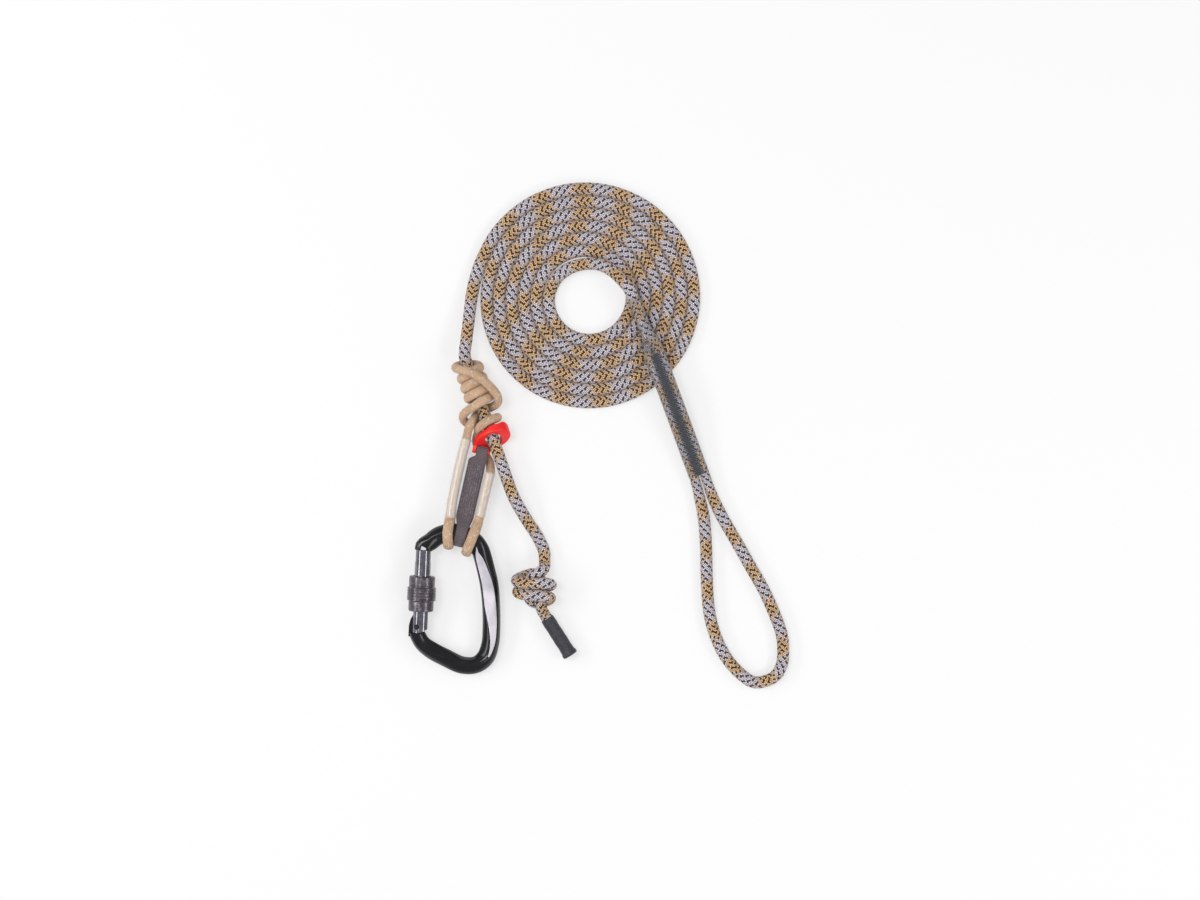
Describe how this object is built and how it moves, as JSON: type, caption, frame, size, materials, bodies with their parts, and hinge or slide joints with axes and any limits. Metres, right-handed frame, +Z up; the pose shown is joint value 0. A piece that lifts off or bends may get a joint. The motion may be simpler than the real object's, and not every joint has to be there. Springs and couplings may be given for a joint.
{
  "type": "tree tether",
  "caption": "Coiled braided climbing rope with a sewn eye and a stopper knot, an adjustable friction hitch, a tending ring on a webbing sling and a screw-lock carabiner.",
  "frame": {"origin": "centre, at floor level, of the hitch, tending ring and carabiner, which lie beside the coil", "axes": "+Z up from the surface that the tether lies on, +Y from the carabiner to the hitch, +X towards the sewn eye"},
  "size_m": [0.2615, 0.3456, 0.0275],
  "materials": {
    "rope": "braided, matte",
    "hitch_cord": "braided, matte",
    "webbing": "woven, matte",
    "thread_grey": "stitched",
    "thread_dark": "stitched",
    "thread_cream": "stitched",
    "shrink_clear": "clear, glossy",
    "shrink_black": "satin",
    "plastic_red": "satin",
    "aluminium_black": "black anodised, glossy",
    "aluminium_grey": "grey anodised, knurled",
    "steel": "satin",
    "rubber": "matte"
  },
  "bodies": {
    "rope": {"rope_coil": "rope", "rope_top_stretch": "rope", "rope_bottom_stretch": "rope", "stopper_knot": "rope", "rope_tail": "rope", "end_sleeve": "shrink_black", "rope_eye": "rope", "eye_stitching": "thread_dark", "eye_sleeve": "shrink_clear"},
    "hitch": {"hitch_wraps": "hitch_cord", "left_leg": "hitch_cord", "right_leg": "hitch_cord", "left_leg_sleeve": "shrink_clear", "right_leg_sleeve": "shrink_clear", "left_leg_stitching": "thread_cream", "right_leg_stitching": "thread_cream", "webbing_sling": "webbing", "webbing_stitching_front": "thread_grey", "webbing_stitching_back": "thread_grey"},
    "tender": {"tending_ring": "plastic_red"},
    "carabiner": {"carabiner_body": "aluminium_black", "gate_pin": "steel"},
    "gate": {"gate": "aluminium_black", "gate_spring": "steel"},
    "plunger": {"spring_plunger": "steel"},
    "sleeve_carrier": {"sleeve_friction_ring": "rubber"},
    "sleeve": {"locking_sleeve": "aluminium_grey"}
  },
  "joints": [
    {"name": "hitch_slide", "type": "slide", "parent": "rope", "child": "hitch", "axis": [0.3256, -0.9455, 0], "range_m": [0, 0.024]},
    {"name": "tender_tilt", "type": "hinge", "parent": "hitch", "child": "tender", "pos_m": [0.01603, 0.04513, 0.0105], "axis": [0.9755, -0.2199, 0], "range_deg": [-2, 5]},
    {"name": "carabiner_swing", "type": "hinge", "parent": "hitch", "child": "carabiner", "pos_m": [-0.00417, -0.03107, 0.01043], "axis": [-0.0436, 0.0523, -0.9977], "range_deg": [-16, 28]},
    {"name": "gate_hinge", "type": "hinge", "parent": "carabiner", "child": "gate", "pos_m": [-0.02885, -0.07456, 0.00923], "axis": [0.0436, -0.0523, 0.9977], "range_deg": [-24, 0], "stiffness_Nm_per_rad": 0.4, "springref_deg": 20.05},
    {"name": "plunger_travel", "type": "slide", "parent": "gate", "child": "plunger", "axis": [0.0479, 0.9976, 0.0502], "range_m": [0, 0.00105], "deforming": ["gate_spring"]},
    {"name": "sleeve_travel", "type": "slide", "parent": "gate", "child": "sleeve_carrier", "axis": [0.0479, 0.9976, 0.0502], "range_m": [0, 0.015]},
    {"name": "sleeve_spin", "type": "hinge", "parent": "sleeve_carrier", "child": "sleeve", "pos_m": [-0.02655, -0.07466, 0.00912], "axis": [0.0479, 0.9976, 0.0502], "range_deg": [0, 1080]}
  ],
  "couplings": [
    {"joint": "plunger_travel", "follows": "gate_hinge", "m_per_rad": -0.00217},
    {"joint": "sleeve_spin", "follows": "sleeve_travel", "rad_per_m": 1256.6}
  ]
}
